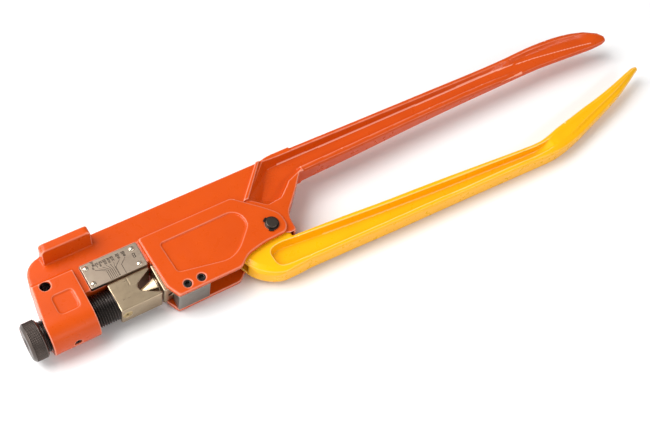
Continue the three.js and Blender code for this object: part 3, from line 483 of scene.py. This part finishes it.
# Seven-stroke figures, one unit wide and two high.
STROKES = {
    "a": (0, 2, 1, 2), "b": (1, 1, 1, 2), "c": (1, 0, 1, 1), "d": (0, 0, 1, 0),
    "e": (0, 0, 0, 1), "f": (0, 1, 0, 2), "g": (0, 1, 1, 1),
}
FIGURES = {
    "0": "abcdef", "1": "bc", "2": "abged", "3": "abgcd", "4": "fgbc",
    "5": "afgcd", "6": "afgedc", "7": "abc", "8": "abcdefg", "9": "gfabcd",
}


def figures(text, x, y, size, width):
    """Strokes of a number whose lower left corner is at x, y."""
    made = []
    for place, figure in enumerate(text):
        left = x + place * size * 0.85
        for key in FIGURES[figure]:
            x0, y0, x1, y1 = STROKES[key]
            made.append((
                left + x0 * size / 2, y + y0 * size / 2, left + x1 * size / 2, y + y1 * size / 2,
                width))
    return made


_, plate_top = extent("size_plate", 2)
plate_low, _ = extent("size_plate", 1)
UPPER = ("16", "25", "35", "50", "70", "95")
LOWER = ("6", "7", "8", "10", "12", "14")
chart = []
for i, (upper, lower) in enumerate(zip(UPPER, LOWER)):
    column = -197.8 + 3.12 * i
    foot = -190.2 + 1.45 * i
    chart += figures(upper, column - 1.1, 51.6, 1.7, 0.36)
    chart += figures(lower, column - 1.1, 49.1, 1.7, 0.36)
    chart.append((column, 47.9, foot, 43.5, 0.28))
    chart.append((foot, 43.5, foot, plate_low + 0.8, 0.34))
for column, value in ((-177.4, "20"), (-172.6, "50")):
    chart += figures(value, column - 1.1, 51.6, 1.7, 0.42)
    chart += figures("16", column - 1.1, 49.1, 1.7, 0.36)
    chart.append((column, 47.9, column - 5, 43.5, 0.3))
    chart.append((column - 5, 43.5, column - 5, plate_low + 0.8, 0.34))
chart += figures("70", -198.9, 54.1, 1.7, 0.36)
chart += figures("8", -166.6, 44.5, 3.6, 0.4)
to_piece(
    "plate_chart", stroke_mesh("plate_chart", chart, plate_top - 0.05, plate_top + 0.03), ink,
    "frame", "etched_plate")

# ---- floor, light and camera ------------------------------------------------------------------

def floor():
    s = Surface("pale_floor", Roughness=0.7)
    tone = s.ramp(s.noise(3, 2), (0.3, (0.90, 0.90, 0.90)), (0.7, (0.93, 0.93, 0.93)))
    mesh = bpy.data.meshes.new("floor")
    mesh.from_pydata([(-6, -6, 0), (6, -6, 0), (6, 6, 0), (-6, 6, 0)], [], [(0, 1, 2, 3)])
    mesh.materials.append(s.drive(Base_Color=tone))
    obj = bpy.data.objects.new("floor", mesh)
    bpy.context.scene.collection.objects.link(obj)


def softbox(name, towards, distance, size, power):
    """Rectangular soft light that looks at the middle of the tool from that direction."""
    lamp = bpy.data.lights.new(name, "AREA")
    lamp.shape = "RECTANGLE"
    lamp.size, lamp.size_y = size
    lamp.energy = power
    obj = bpy.data.objects.new(name, lamp)
    direction = Vector(towards).normalized()
    obj.location = direction * distance
    obj.rotation_euler = direction.to_track_quat("Z", "Y").to_euler()
    bpy.context.scene.collection.objects.link(obj)


def surroundings(strength):
    world = bpy.data.worlds.new("studio")
    world.use_nodes = True
    world.node_tree.nodes["Background"].inputs["Color"].default_value = (1, 1, 1, 1)
    world.node_tree.nodes["Background"].inputs["Strength"].default_value = strength
    bpy.context.scene.world = world


def camera():
    right = Vector((0.84964, -0.51348, 0.12022))
    up = Vector((0.39175, 0.76714, 0.50797))
    back = Vector((-0.35305, -0.38449, 0.85295))
    at = Vector((-343.6, -351.6, 810.6))
    stance = Matrix((right, up, back)).transposed().to_4x4()
    data = bpy.data.cameras.new("camera")
    data.sensor_width = 36
    data.lens = 63.64
    obj = bpy.data.objects.new("camera", data)
    turn = TOOL.to_3x3() * (1 / MM)
    obj.matrix_world = Matrix.Translation(TOOL @ at) @ (turn @ stance.to_3x3()).to_4x4()
    bpy.context.scene.collection.objects.link(obj)
    bpy.context.scene.camera = obj


floor()
surroundings(0.30)
softbox("overhead", (-0.6, 0.3, 1), 1.8, (1.4, 1.4), 39)
softbox("edge_strip", (0.35, -0.68, 0.62), 1.2, (0.9, 0.12), 3)
softbox("left", (-1, 0.1, 0.25), 1.3, (0.9, 0.25), 6)
softbox("front", (-0.1, -1, 0.35), 1.6, (1.6, 0.6), 5)
camera()

bpy.context.scene.view_settings.view_transform = "Standard"
